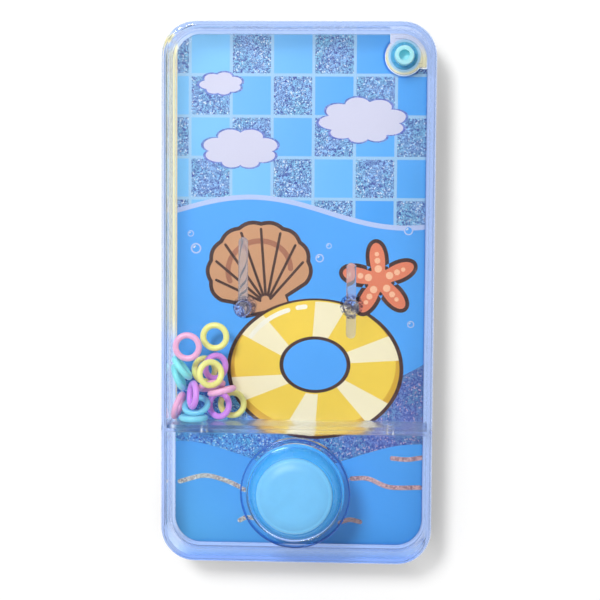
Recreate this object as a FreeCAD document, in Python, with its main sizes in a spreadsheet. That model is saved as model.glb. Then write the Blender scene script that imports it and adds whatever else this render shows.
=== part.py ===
# Water ring toss game: a flat clear tank, filled with water through a port in its back. Pressing the
# button at the bottom drives water up through two jets in the divider, and the loose rings drift up
# past two upright pegs.
#
# The game lies on its back. X runs across it, Y up toward its top, Z out of its face. The origin is
# the middle of the back. All sizes are in millimetres.
import FreeCAD, Part
import math
import os

import Sketcher

doc = FreeCAD.newDocument("WaterRingToss")
sheet = doc.addObject("Spreadsheet::Sheet", "Sizes")

# The driving sizes, each with its cell in the sheet
driving_sizes = {
    # case
    "case_width": 75.0,
    "case_length": 149.0,
    "case_corner": 9.5,
    "side_wall": 1.5,
    "front_wall": 1.5,
    "back_plate": 2.0,
    "front_round": 1.2,
    "back_round": 0.6,
    "fit_gap": 0.1,
    "cut_overrun": 1.0,
    # cement between the clear parts that are glued face to face
    "cement_film": 0.03,
    # rim of the rear shell, which nests inside the front shell
    "tongue_wall": 0.8,
    "tongue_rise": 1.2,
    # divider between the tank and the pump chamber, one rib on each shell
    "pump_room": 34.5,
    "divider_rib": 1.0,
    "jet_bore": 2.0,
    "jet_reach": 26.0,
    # loose rings
    "ring_outer": 8.2,
    "ring_wire": 1.7,
    # printed sheet
    "sheet_thickness": 0.4,
    "sheet_margin": 2.2,
    "sheet_corner": 7.5,
    "sheet_side_gap": 0.15,
    # corner pocket and stopper of the filling port
    "plug_from_side": 8.7,
    "plug_from_top": 8.5,
    "plug_head_radius": 3.8,
    "plug_head_height": 1.5,
    "plug_stem_radius": 2.8,
    "plug_tip_radius": 2.6,
    "plug_stem_length": 3.6,
    "plug_bore_radius": 1.5,
    "plug_bore_depth": 3.0,
    "plug_play": 0.06,
    "plug_round": 0.4,
    "pocket_depth": 4.0,
    "pocket_floor": 1.5,
    "pocket_wall": 1.15,
    "pocket_finger_room": 0.3,
    "pocket_left_step": 1.5,
    "pocket_low_step": 2.1,
    # catching pegs
    "peg_left_reach": 15.4,
    "peg_left_level": -4.3,
    "peg_left_tail": 0.0,
    "peg_right_reach": 14.75,
    "peg_right_level": -3.7,
    "peg_right_tail": 7.4,
    "peg_length": 19.8,
    "peg_radius": 1.35,
    "peg_foot_radius": 2.3,
    "peg_foot_rise": 1.0,
    "peg_foot_round": 0.7,
    "peg_pin_radius": 1.3,
    "peg_pin_length": 1.8,
    "peg_pin_play": 0.05,
    "socket_radius": 3.2,
    "socket_rise": 2.0,
    # pump button
    "pump_from_bottom": 20.0,
    "pump_opening": 11.4,
    "collar_radius": 15.2,
    "collar_rise": 3.0,
    "collar_round": 0.5,
    "skirt_gap": 0.3,
    "flange_radius": 13.6,
    "flange_height": 1.2,
    "skirt_foot_radius": 12.6,
    "skirt_top_radius": 11.0,
    "skirt_height": 6.0,
    "skirt_wall": 0.9,
    "skirt_bulge_radius": 7.0,
    "cap_radius": 10.5,
    "cap_edge": 1.4,
    "cap_dome": 0.6,
    "cap_round": 1.2,
}

# The tank is one and a half rings deep, so that a ring can turn over in it
tank_depth_shares = 1.525

# The pile of rings at rest in the tank's lower left corner. A ring's middle lies across from the
# left wall, up from the floor and out from the back plate, in shares of its outer diameter. It is
# turned about a line in the game's plane, given by that line's heading and the angle of the turn.
ring_place_shares = {
    "ring_yellow_top": (1.54, 2.92, 0.67, 0, 4),
    "ring_pink_top": (0.67, 2.62, 1.27, 0, 3),
    "ring_cyan_upper": (0.46, 1.87, 0.98, -52, 90),
    "ring_cyan_lower": (0.29, 1.51, 0.56, -68, 93),
    "ring_yellow_back": (1.17, 1.74, 0.38, 104, 36),
    "ring_yellow_front": (1.45, 1.70, 1.16, 100, 29),
    "ring_purple_back": (1.55, 1.86, 0.50, 85, 36),
    "ring_purple_slim": (0.83, 0.94, 0.98, 85, -68),
    "ring_pink_wall": (0.28, 0.52, 0.55, 71, 83),
    "ring_pink_mid": (1.41, 1.21, 0.52, 14, 72),
    "ring_pink_low": (1.82, 1.10, 0.99, 14, 87),
    "ring_blue_tilted": (0.90, 0.53, 0.59, 9, -56),
    "ring_blue_flat": (0.83, 0.14, 0.83, 0, 90),
    "ring_purple_low": (1.67, 0.53, 0.37, 77, -29),
    "ring_yellow_low": (2.10, 0.54, 0.14, 0, 0),
}

# Two places closer than this are the same one
same_place_share = 1e-6

for row, (name, size) in enumerate(driving_sizes.items(), start=1):
    sheet.set(f"A{row}", name)
    sheet.set(f"B{row}", str(size))
    sheet.setAlias(f"B{row}", name)
doc.recompute()


# A size or a sum of sizes as the sheet has it now
def value(formula):
    return float(sheet.evalExpression(formula))


# Names of the sheet's cells in a formula are written with a leading $
def cells(formula):
    return formula.replace("$", "Sizes.")


# Levels and edges that several pieces share
tank_depth = cells(f"$ring_outer * {tank_depth_shares}")
inside_front = cells(f"($back_plate + {tank_depth})")
face_level = cells(f"({inside_front} + $front_wall)")
mid_level = cells(f"($back_plate + {tank_depth} / 2)")
seam_level = cells("($back_plate + $cement_film)")
half_width = cells("($case_width / 2)")
half_length = cells("($case_length / 2)")
inner_width = cells(f"({half_width} - $side_wall)")
inner_length = cells(f"({half_length} - $side_wall)")
inner_corner = cells("($case_corner - $side_wall)")
nest_width = cells(f"({inner_width} - $fit_gap)")
nest_length = cells(f"({inner_length} - $fit_gap)")
nest_corner = cells(f"({inner_corner} - $fit_gap)")
front_rib_low = cells(f"(-{inner_length} + $pump_room)")
front_rib_high = cells(f"({front_rib_low} + $divider_rib)")
rear_rib_low = cells(f"({front_rib_high} + $fit_gap)")
floor_level = cells(f"({rear_rib_low} + $divider_rib)")
plug_across = cells(f"({half_width} - $plug_from_side)")
plug_up = cells(f"({half_length} - $plug_from_top)")
pocket_radius = cells("($plug_head_radius + $pocket_finger_room + $pocket_wall)")
pump_up = cells(f"(-{half_length} + $pump_from_bottom)")
jet_radius = cells("($jet_bore / 2)")
ring_path_radius = cells("(($ring_outer - $ring_wire) / 2)")
half_gap = cells("($fit_gap / 2)")
case_outline = (f"-{half_width}", f"-{half_length}", half_width, half_length, cells("$case_corner"))
sheet_width = cells(f"({half_width} - $sheet_margin)")
sheet_length = cells(f"({half_length} - $sheet_margin)")
pocket_left = cells(f"({plug_across} - {pocket_radius} + $pocket_left_step)")
pocket_low = cells(f"({plug_up} - {pocket_radius} + $pocket_low_step)")
pocket_right = cells(f"({nest_width} - $tongue_wall - $fit_gap)")
pocket_high = cells(f"({nest_length} - $tongue_wall - $fit_gap)")
pocket_corner = cells(f"({nest_corner} - $tongue_wall - $fit_gap)")
socket_top = cells("($back_plate + $socket_rise)")
peg_feet = [
    (cells("-$peg_left_reach"), cells("$peg_left_level")),
    (cells("$peg_right_reach"), cells("$peg_right_level")),
]


def vector(across, up, out=0.0):
    return FreeCAD.Vector(across, up, out)


pieces = []


def new_body(label):
    body = doc.addObject("PartDesign::Body", label)
    body.Label = label
    pieces.append(body)
    return body


# A sketch on one of the body's own origin planes, moved off it by a formula
def new_sketch(body, name, role="XY_Plane", lift=None):
    sketch = body.newObject("Sketcher::SketchObject", name)
    plane = [feature for feature in body.Origin.OriginFeatures if feature.Role == role][0]
    sketch.AttachmentSupport = [(plane, "")]
    sketch.MapMode = "FlatFace"
    if lift:
        sketch.setExpression("AttachmentOffset.Base.z", lift)
    return sketch


def bind(sketch, constraint, formula):
    sketch.setExpression(f"Constraints[{sketch.addConstraint(constraint)}]", formula)


# The arc from one spot to the next round a closed outline, bulging out of it or into it
def arc_between(start, end, radius, outward):
    first, last = (start, end) if outward else (end, start)
    chord = last - first
    rise = math.sqrt(radius**2 - (chord.Length / 2) ** 2)
    inward = vector(-chord.y, chord.x).normalize()
    centre = (first + last) * 0.5 + inward * rise
    angles = [math.atan2(spot.y - centre.y, spot.x - centre.x) for spot in (first, last)]
    return Part.ArcOfCircle(Part.Circle(centre, vector(0, 0, 1), radius), *angles)


# A closed outline, counter-clockwise, through points given as pairs of formulas. Its sides are
# straight but for those in arcs, which gives each side's radius and whether it bulges outward.
def add_outline(sketch, points, arcs=None):
    arcs = arcs or {}
    spots = [vector(value(across), value(up)) for across, up in points]
    first = sketch.GeometryCount
    count = len(points)
    starts, ends = [], []
    for i, spot in enumerate(spots):
        following = spots[(i + 1) % count]
        outward = True
        if i in arcs:
            radius, outward = arcs[i]
            sketch.addGeometry(arc_between(spot, following, value(radius), outward), False)
            bind(sketch, Sketcher.Constraint("Radius", first + i, value(radius)), radius)
        else:
            sketch.addGeometry(Part.LineSegment(spot, following), False)
        starts.append(1 if outward else 2)
        ends.append(2 if outward else 1)
    for i, (across, up) in enumerate(points):
        side = first + i
        following = (i + 1) % count
        meeting = (side, ends[i], first + following, starts[following])
        sketch.addConstraint(Sketcher.Constraint("Coincident", *meeting))
        bind(sketch, Sketcher.Constraint("DistanceX", -1, 1, side, starts[i], spots[i].x), across)
        bind(sketch, Sketcher.Constraint("DistanceY", -1, 1, side, starts[i], spots[i].y), up)


# A rectangle with four round corners, or only its upper right one, its sides and radius as formulas
def add_rounded_outline(sketch, left, low, right, high, radius, round_corners=range(4)):
    x0, y0, x1, y1, turn = (value(formula) for formula in (left, low, right, high, radius))
    corners = [(x1, y0), (x1, y1), (x0, y1), (x0, y0)]
    along = [(1, 0), (0, 1), (-1, 0), (0, -1)]
    cuts = [turn if k in round_corners else 0.0 for k in range(4)]
    sides, arcs = [], {}
    for k in range(4):
        start, end = corners[k - 1], corners[k]
        run = along[k]
        spots = [
            vector(start[0] + run[0] * cuts[k - 1], start[1] + run[1] * cuts[k - 1]),
            vector(end[0] - run[0] * cuts[k], end[1] - run[1] * cuts[k]),
        ]
        sides.append(sketch.addGeometry(Part.LineSegment(*spots), False))
        sketch.addConstraint(Sketcher.Constraint("Vertical" if k % 2 else "Horizontal", sides[k]))
    for k in round_corners:
        beyond = along[(k + 1) % 4]
        centre = vector(
            corners[k][0] - (along[k][0] - beyond[0]) * turn, corners[k][1] - (along[k][1] - beyond[1]) * turn
        )
        start = math.radians(90 * k - 90)
        circle = Part.Circle(centre, vector(0, 0, 1), turn)
        arcs[k] = sketch.addGeometry(Part.ArcOfCircle(circle, start, start + math.pi / 2), False)
        sketch.addConstraint(Sketcher.Constraint("Tangent", sides[k], 2, arcs[k], 1))
        sketch.addConstraint(Sketcher.Constraint("Tangent", arcs[k], 2, sides[(k + 1) % 4], 1))
        bind(sketch, Sketcher.Constraint("Radius", arcs[k], turn), radius)
    for k in set(range(4)) - set(round_corners):
        sketch.addConstraint(Sketcher.Constraint("Coincident", sides[k], 2, sides[(k + 1) % 4], 1))
    bind(sketch, Sketcher.Constraint("DistanceY", -1, 1, sides[0], 1, y0), low)
    bind(sketch, Sketcher.Constraint("DistanceX", -1, 1, sides[1], 1, x1), right)
    bind(sketch, Sketcher.Constraint("DistanceY", -1, 1, sides[2], 1, y1), high)
    bind(sketch, Sketcher.Constraint("DistanceX", -1, 1, sides[3], 1, x0), left)


def add_circle(sketch, across, up, radius):
    centre = vector(value(across), value(up))
    circle = sketch.addGeometry(Part.Circle(centre, vector(0, 0, 1), value(radius)), False)
    bind(sketch, Sketcher.Constraint("Radius", circle, value(radius)), radius)
    bind(sketch, Sketcher.Constraint("DistanceX", -1, 1, circle, 3, centre.x), across)
    bind(sketch, Sketcher.Constraint("DistanceY", -1, 1, circle, 3, centre.y), up)


def pad(body, sketch, name, length):
    feature = body.newObject("PartDesign::Pad", name)
    feature.Profile = sketch
    feature.setExpression("Length", length)
    doc.recompute()


# A pocket has to take something away: pointed off the solid it would cut nothing and show no error
def pocket(body, sketch, name, length, outward=False):
    before = body.Shape.Volume
    feature = body.newObject("PartDesign::Pocket", name)
    feature.Profile = sketch
    feature.setExpression("Length", length)
    feature.Reversed = outward
    doc.recompute()
    if body.Shape.Volume >= before:
        raise ValueError(f"{name} cuts nothing")


# A turned solid: the outline is given as radius and level, and turns about the body's Z axis, or
# about its Y axis when the outline lies in the XY plane
def turn(body, name, points, arcs=None, role="XZ_Plane"):
    sketch = new_sketch(body, name + "_profile", role)
    add_outline(sketch, points, arcs)
    feature = body.newObject("PartDesign::Revolution", name)
    feature.Profile = sketch
    feature.ReferenceAxis = (sketch, ["V_Axis"])
    feature.Angle = 360
    doc.recompute()


# Rounds the edges of the body's last feature that a test on each edge picks
def round_edges(body, name, radius, wanted):
    base = body.Tip
    picked = [f"Edge{i}" for i, edge in enumerate(base.Shape.Edges, start=1) if wanted(edge)]
    if not picked:
        raise ValueError(f"{name} finds no edge")
    feature = body.newObject("PartDesign::Fillet", name)
    feature.Base = (base, picked)
    feature.setExpression("Radius", radius)
    doc.recompute()


def same_place(one, other):
    return abs(one - other) < same_place_share * value("case_width")


# Whether an edge lies in the plane at a level
def lies_at(edge, level):
    return same_place(edge.BoundBox.ZMin, level) and same_place(edge.BoundBox.ZMax, level)


# Whether an edge of a turned solid is its rim of a radius at a level, both given by formulas
def is_rim(edge, radius, level):
    return same_place(edge.BoundBox.XMax, value(radius)) and lies_at(edge, value(level))


def place(item, across="0", up="0", out="0"):
    item.setExpression("Placement.Base.x", across)
    item.setExpression("Placement.Base.y", up)
    item.setExpression("Placement.Base.z", out)


# The two jets pass through a rib of the divider, along Y. The XZ plane faces -Y, so a lift off it
# is a step down the game.
def cut_jets(body, low, high):
    sketch = new_sketch(body, body.Label + "_jet_outline", "XZ_Plane", f"-({low} - {half_gap})")
    add_circle(sketch, cells("-$jet_reach"), mid_level, jet_radius)
    add_circle(sketch, cells("$jet_reach"), mid_level, jet_radius)
    pocket(body, sketch, body.Label + "_jets", cells(f"{high} - {low} + $fit_gap"))


# Clear front shell: an open box whose front has the pump opening, with one rib of the divider
def build_front_shell():
    body = new_body("front_shell")
    outer = new_sketch(body, "front_outline", lift=seam_level)
    add_rounded_outline(outer, *case_outline)
    pad(body, outer, "front_block", cells(f"{face_level} - {seam_level}"))
    face = value(face_level)
    round_edges(body, "front_edge", cells("$front_round"), lambda edge: lies_at(edge, face))
    cavity = new_sketch(body, "front_cavity_outline", lift=seam_level)
    add_rounded_outline(cavity, *centred(inner_width, inner_length), inner_corner)
    pocket(body, cavity, "front_cavity", cells(f"{inside_front} - {seam_level}"), outward=True)
    rib_side = cells(f"({inner_width} + $side_wall / 2)")
    rib_start = cells("($back_plate + $tongue_rise + $fit_gap)")
    rib = new_sketch(body, "front_rib_outline", lift=rib_start)
    add_outline(rib, box_corners(f"-{rib_side}", front_rib_low, rib_side, front_rib_high))
    pad(body, rib, "front_rib", cells(f"{face_level} - $front_wall / 2 - {rib_start}"))
    opening = new_sketch(body, "pump_opening_outline", lift=face_level)
    add_circle(opening, "0", pump_up, cells("$pump_opening"))
    pocket(body, opening, "pump_opening", cells("$front_wall + $cut_overrun"))
    cut_jets(body, front_rib_low, front_rib_high)


def centred(half_across, half_up):
    return (f"-{half_across}", f"-{half_up}", half_across, half_up)


def box_corners(left, low, right, high):
    return [(left, low), (right, low), (right, high), (left, high)]


# Clear rear shell: the back plate, the tongue round its edge, the other rib of the divider, the two
# peg sockets, the recess that takes the printed sheet and the corner cut that takes the filling pocket
def build_rear_shell():
    body = new_body("rear_shell")
    plate = new_sketch(body, "plate_outline")
    add_rounded_outline(plate, *case_outline)
    pad(body, plate, "plate", cells("$back_plate"))
    round_edges(body, "back_edge", cells("$back_round"), lambda edge: lies_at(edge, 0.0))
    recess = new_sketch(body, "sheet_recess_outline")
    recess_width = cells(f"({sheet_width} + $sheet_side_gap)")
    recess_length = cells(f"({sheet_length} + $sheet_side_gap)")
    recess_corner = cells("($sheet_corner + $sheet_side_gap)")
    add_rounded_outline(recess, *centred(recess_width, recess_length), recess_corner)
    pocket(body, recess, "sheet_recess", cells("$sheet_thickness"), outward=True)
    tongue = new_sketch(body, "tongue_outline", lift=cells("$back_plate"))
    add_rounded_outline(tongue, *centred(nest_width, nest_length), nest_corner)
    tongue_width = cells(f"({nest_width} - $tongue_wall)")
    tongue_length = cells(f"({nest_length} - $tongue_wall)")
    add_rounded_outline(
        tongue, *centred(tongue_width, tongue_length), cells(f"({nest_corner} - $tongue_wall)")
    )
    pad(body, tongue, "tongue", cells("$tongue_rise"))
    rib = new_sketch(body, "rear_rib_outline", lift=cells("$back_plate"))
    add_outline(rib, box_corners(f"-{nest_width}", rear_rib_low, nest_width, floor_level))
    pad(body, rib, "rear_rib", cells(f"{tank_depth} - $fit_gap"))
    drum_cut = new_sketch(body, "drum_cut_outline")
    add_circle(drum_cut, plug_across, plug_up, cells(f"({pocket_radius} + $fit_gap)"))
    pocket(body, drum_cut, "drum_cut", cells("$back_plate"), outward=True)
    corner_cut = new_sketch(body, "corner_cut_outline")
    add_pocket_outline(corner_cut, "$fit_gap")
    pocket(body, corner_cut, "corner_cut", cells("$back_plate"), outward=True)
    sockets = new_sketch(body, "socket_outline", lift=cells("$back_plate"))
    bores = new_sketch(body, "socket_bore_outline", lift=socket_top)
    for across, up in peg_feet:
        add_circle(sockets, across, up, cells("$socket_radius"))
        add_circle(bores, across, up, cells("($peg_pin_radius + $peg_pin_play)"))
    pad(body, sockets, "sockets", cells("$socket_rise"))
    pocket(body, bores, "socket_bores", cells("($peg_pin_length + $fit_gap)"))
    cut_jets(body, rear_rib_low, floor_level)


# The square part of the filling pocket's outline, grown on all sides
def add_pocket_outline(sketch, growth):
    low = [cells(f"({edge} - ({growth}))") for edge in (pocket_left, pocket_low)]
    high = [cells(f"({edge} + ({growth}))") for edge in (pocket_right, pocket_high)]
    radius = cells(f"({pocket_corner} + ({growth}))")
    add_rounded_outline(sketch, *low, *high, radius, round_corners=(1,))


# Filling pocket, let into the rear shell's corner and standing up into the tank: a round wall about
# the stopper that runs out beside the tongue. It is hollow from the back, and the filling port goes
# through its floor.
def build_filling_pocket():
    body = new_body("filling_pocket")
    top = cells("($pocket_depth + $pocket_floor)")
    drum = new_sketch(body, "pocket_drum_outline")
    add_circle(drum, plug_across, plug_up, pocket_radius)
    pad(body, drum, "pocket_drum", top)
    block = new_sketch(body, "pocket_block_outline")
    add_pocket_outline(block, "0")
    pad(body, block, "pocket_block", top)
    drum_hollow = new_sketch(body, "pocket_drum_hollow_outline")
    add_circle(drum_hollow, plug_across, plug_up, cells(f"({pocket_radius} - $pocket_wall)"))
    pocket(body, drum_hollow, "pocket_drum_hollow", cells("$pocket_depth"), outward=True)
    hollow = new_sketch(body, "pocket_hollow_outline")
    add_pocket_outline(hollow, "-$pocket_wall")
    pocket(body, hollow, "pocket_hollow", cells("$pocket_depth"), outward=True)
    port = new_sketch(body, "filling_port_outline", lift=cells("($pocket_depth - $cut_overrun)"))
    add_circle(port, plug_across, plug_up, cells("($plug_stem_radius + $plug_play)"))
    pocket(body, port, "filling_port", cells("($pocket_floor + 2 * $cut_overrun)"), outward=True)


# Printed sheet in the recess on the back of the plate, cut out round the filling pocket
def build_print_sheet():
    body = new_body("print_sheet")
    outline = new_sketch(body, "sheet_outline")
    add_rounded_outline(outline, *centred(sheet_width, sheet_length), cells("$sheet_corner"))
    pad(body, outline, "sheet", cells("$sheet_thickness"))
    corner = new_sketch(body, "sheet_step_outline")
    step_left = cells(f"({pocket_left} - $sheet_side_gap)")
    step_low = cells(f"({pocket_low} - $sheet_side_gap)")
    beyond = (cells(f"({half_width} + $cut_overrun)"), cells(f"({half_length} + $cut_overrun)"))
    add_outline(corner, box_corners(step_left, step_low, *beyond))
    pocket(body, corner, "sheet_step", cells("$sheet_thickness"), outward=True)
    arch = new_sketch(body, "sheet_arch_outline")
    add_circle(arch, plug_across, plug_up, cells(f"({pocket_radius} + $sheet_side_gap)"))
    pocket(body, arch, "sheet_arch", cells("$sheet_thickness"), outward=True)


# Stopper of the filling port: a flat head in the pocket and a tapered stem, hollow from its tip
def build_fill_plug():
    body = new_body("fill_plug")
    head_low = cells("-$plug_head_height")
    bore_end = cells("($plug_stem_length - $plug_bore_depth)")
    turn(
        body,
        "plug_turning",
        [
            ("0", head_low),
            (cells("$plug_head_radius"), head_low),
            (cells("$plug_head_radius"), "0"),
            (cells("$plug_stem_radius"), "0"),
            (cells("$plug_tip_radius"), cells("$plug_stem_length")),
            (cells("$plug_bore_radius"), cells("$plug_stem_length")),
            (cells("$plug_bore_radius"), bore_end),
            ("0", bore_end),
        ],
    )
    round_edges(
        body,
        "plug_head_edge",
        cells("$plug_round"),
        lambda edge: is_rim(edge, "plug_head_radius", "-plug_head_height"),
    )
    place(body, plug_across, plug_up, cells("$pocket_depth"))


# Clear collar round the button, stepped inside so that its lip holds the soft flange down
def build_clamp_ring():
    body = new_body("clamp_ring")
    seat_radius = cells("($flange_radius + $fit_gap)")
    lip_radius = cells("($skirt_foot_radius + $skirt_gap)")
    rise = cells("$collar_rise")
    turn(
        body,
        "collar_turning",
        [
            (seat_radius, "0"),
            (cells("$collar_radius"), "0"),
            (cells("$collar_radius"), rise),
            (lip_radius, rise),
            (lip_radius, cells("$flange_height")),
            (seat_radius, cells("$flange_height")),
        ],
    )
    top = value(rise)
    round_edges(body, "collar_edges", cells("$collar_round"), lambda edge: lies_at(edge, top))
    place(body, "0", pump_up, cells(f"({face_level} + $cement_film)"))


# Soft skirt of the button: a thin bulging wall on a flat flange, closed at the top
def build_pump_bellows():
    body = new_body("pump_bellows")
    inner_bulge = cells("($skirt_bulge_radius - $skirt_wall)")
    under_top = cells("($skirt_height - $skirt_wall)")
    turn(
        body,
        "bellows_turning",
        [
            (cells("($skirt_foot_radius - $skirt_wall)"), "0"),
            (cells("$flange_radius"), "0"),
            (cells("$flange_radius"), cells("$flange_height")),
            (cells("$skirt_foot_radius"), cells("$flange_height")),
            (cells("$skirt_top_radius"), cells("$skirt_height")),
            ("0", cells("$skirt_height")),
            ("0", under_top),
            (cells("($skirt_top_radius - $skirt_wall)"), under_top),
        ],
        {3: (cells("$skirt_bulge_radius"), True), 7: (inner_bulge, False)},
    )
    place(body, "0", pump_up, face_level)


# Hard top of the button, a shallow dome that the thumb presses
def build_pump_cap():
    body = new_body("pump_cap")
    rim = cells("$cap_radius")
    dome = cells("(($cap_radius ^ 2 + $cap_dome ^ 2) / (2 * $cap_dome))")
    turn(
        body,
        "cap_turning",
        [("0", "0"), (rim, "0"), (rim, cells("$cap_edge")), ("0", cells("($cap_edge + $cap_dome)"))],
        {2: (dome, True)},
    )
    round_edges(
        body, "cap_rim", cells("$cap_round"), lambda edge: is_rim(edge, "cap_radius", "cap_edge")
    )
    place(body, "0", pump_up, cells(f"({face_level} + $skirt_height)"))


# Catching peg: a round foot with a pin in its socket, and a post with round ends that runs up the
# tank through the foot's front end. The tail is what the post has below the foot.
def build_peg(label, across, up, tail):
    body = new_body(label)
    foot_low = cells(f"({socket_top} + $cement_film - {mid_level})")
    foot_high = cells("($peg_radius + $peg_foot_rise)")
    pin_low = cells(f"({foot_low} - $peg_pin_length)")
    turn(
        body,
        label + "_foot",
        [
            ("0", pin_low),
            (cells("$peg_pin_radius"), pin_low),
            (cells("$peg_pin_radius"), foot_low),
            (cells("$peg_foot_radius"), foot_low),
            (cells("$peg_foot_radius"), foot_high),
            ("0", foot_high),
        ],
    )
    top = value(foot_high)
    round_edges(
        body, label + "_foot_edge", cells("$peg_foot_round"), lambda edge: lies_at(edge, top)
    )
    side = cells("$peg_radius")
    turn(
        body,
        label + "_post",
        [
            ("0", cells(f"(-{tail} - {side})")),
            (side, f"-{tail}"),
            (side, cells(f"($peg_length - {tail} - {side})")),
            ("0", cells(f"($peg_length - {tail})")),
        ],
        {0: (side, True), 2: (side, True)},
        role="XY_Plane",
    )
    place(body, across, up, mid_level)


# A loose ring, at its place in the pile
def build_ring(label, shares):
    across, up, out, heading, angle = shares
    line = vector(math.cos(math.radians(heading)), math.sin(math.radians(heading)))
    ring = doc.addObject("Part::Torus", label)
    ring.Label = label
    ring.setExpression("Radius1", ring_path_radius)
    ring.setExpression("Radius2", cells("($ring_wire / 2)"))
    ring.Placement.Rotation = FreeCAD.Rotation(line, angle)
    place(
        ring,
        cells(f"(-{inner_width} + $ring_outer * {across})"),
        cells(f"({floor_level} + $ring_outer * {up})"),
        cells(f"($back_plate + $ring_outer * {out})"),
    )
    pieces.append(ring)


build_front_shell()
build_rear_shell()
build_filling_pocket()
build_print_sheet()
build_fill_plug()
build_clamp_ring()
build_pump_bellows()
build_pump_cap()
build_peg("peg_left", *peg_feet[0], cells("$peg_left_tail"))
build_peg("peg_right", *peg_feet[1], cells("$peg_right_tail"))
for label, shares in ring_place_shares.items():
    build_ring(label, shares)
doc.recompute()

for item in doc.Objects:
    if "Invalid" in item.State or "Error" in item.State:
        raise ValueError(f"{item.Name} failed: {item.State}")
for piece in pieces:
    if piece.Shape.isNull() or not piece.Shape.isValid() or len(piece.Shape.Solids) != 1:
        raise ValueError(f"{piece.Label} is not one valid solid")

os.makedirs("parts", exist_ok=True)
for piece in pieces:
    piece.Shape.exportStep(f"parts/{piece.Label}.step")
print(len(pieces), "pieces written")
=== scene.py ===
import math

import bpy
import numpy as np
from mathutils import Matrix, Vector
from mathutils.geometry import delaunay_2d_cdt


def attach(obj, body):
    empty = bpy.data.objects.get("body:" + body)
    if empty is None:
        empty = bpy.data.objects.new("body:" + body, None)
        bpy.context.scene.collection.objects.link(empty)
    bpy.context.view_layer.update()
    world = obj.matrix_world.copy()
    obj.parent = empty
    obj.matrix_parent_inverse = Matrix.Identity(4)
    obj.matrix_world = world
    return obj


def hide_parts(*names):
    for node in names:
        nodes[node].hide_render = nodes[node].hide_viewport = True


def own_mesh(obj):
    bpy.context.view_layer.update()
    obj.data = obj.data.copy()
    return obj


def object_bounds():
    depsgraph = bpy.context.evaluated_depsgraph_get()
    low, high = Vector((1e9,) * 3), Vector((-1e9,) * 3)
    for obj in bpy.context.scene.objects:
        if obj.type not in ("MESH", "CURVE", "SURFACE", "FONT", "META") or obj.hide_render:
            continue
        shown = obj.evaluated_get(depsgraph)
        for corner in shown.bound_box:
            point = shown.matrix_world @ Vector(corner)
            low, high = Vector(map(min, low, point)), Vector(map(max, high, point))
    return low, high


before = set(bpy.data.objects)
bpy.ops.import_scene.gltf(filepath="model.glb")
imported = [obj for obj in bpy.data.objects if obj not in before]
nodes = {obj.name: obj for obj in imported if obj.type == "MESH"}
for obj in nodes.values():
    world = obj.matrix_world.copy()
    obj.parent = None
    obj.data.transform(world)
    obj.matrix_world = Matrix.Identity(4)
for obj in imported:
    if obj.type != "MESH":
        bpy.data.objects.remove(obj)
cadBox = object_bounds()
mm = 0.001  # sizes below are in millimetres unless they say otherwise
print("frame loaded:", len(nodes), "nodes")


def srgb(red, green, blue):
    # An 8 bit display colour as the linear colour a shader socket takes
    share = np.array([red, green, blue]) / 255
    linear = np.where(share <= 0.04045, share / 12.92, ((share + 0.055) / 1.055) ** 2.4)
    return (*linear, 1)


def addNode(tree, kind, inputs=None, **settings):
    # One node with its settings, and its inputs by name or number: a socket is linked, a value is set
    node = tree.nodes.new("ShaderNode" + kind)
    for key, value in settings.items():
        setattr(node, key, value)
    for key, value in (inputs or {}).items():
        if isinstance(value, bpy.types.NodeSocket):
            tree.links.new(value, node.inputs[key])
        else:
            node.inputs[key].default_value = value
    return node


def nodeValue(tree, kind, inputs, **settings):
    # A new node's first output
    return addNode(tree, kind, inputs, **settings).outputs[0]


def mathNode(tree, operation, first, second=0.0):
    return nodeValue(tree, "Math", {0: first, 1: second}, operation=operation)


def times(tree, first, second):
    return mathNode(tree, "MULTIPLY", first, second)


def minus(tree, first, second):
    return mathNode(tree, "SUBTRACT", first, second)


def mixColors(tree, factor, first, second, blendType="MIX"):
    node = addNode(tree, "Mix", {0: factor, 6: first, 7: second}, data_type="RGBA", blend_type=blendType)
    return node.outputs[2]


def remap(tree, value, low, high, start=0.0, end=1.0, **settings):
    # A value that goes from low to high carried over to start and end, and held beyond them
    return nodeValue(tree, "MapRange", {0: value, 1: low, 2: high, 3: start, 4: end}, **settings)


def mixValues(tree, factor, first, second):
    return nodeValue(tree, "Mix", {0: factor, 2: first, 3: second}, data_type="FLOAT")


def placeInMm(tree, turn=0.0, stretch=(1, 1, 1)):
    # Object coordinates in millimetres, turned about Z and stretched
    place = addNode(tree, "TexCoord").outputs["Object"]
    scale = [share / mm for share in stretch]
    return nodeValue(tree, "Mapping", {"Vector": place, "Rotation": (0, 0, turn), "Scale": scale})


def lengthOf(tree, vector):
    return addNode(tree, "VectorMath", {0: vector}, operation="LENGTH").outputs["Value"]


def axesInMm(tree):
    return addNode(tree, "SeparateXYZ", {0: placeInMm(tree)}).outputs


def noiseInMm(tree, scale, detail, **inputs):
    # Noise whose scale is per millimetre
    inputs = {"Vector": placeInMm(tree), "Scale": scale, "Detail": detail, **inputs}
    return nodeValue(tree, "TexNoise", inputs)


def newGroup(name, inputs, outputs):
    # A shader node group: its inputs are numbers or colours, its outputs are given by their kind
    group = bpy.data.node_groups.new(name, "ShaderNodeTree")
    for socket, value in inputs.items():
        kind = "Float" if isinstance(value, float) else "Color"
        made = group.interface.new_socket(socket, in_out="INPUT", socket_type="NodeSocket" + kind)
        made.default_value = value
    for socket, kind in outputs.items():
        group.interface.new_socket(socket, in_out="OUTPUT", socket_type="NodeSocket" + kind)
    return group, group.nodes.new("NodeGroupInput").outputs, group.nodes.new("NodeGroupOutput").inputs


def useGroup(tree, group, inputs):
    return addNode(tree, "Group", inputs, node_tree=group).outputs


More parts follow.
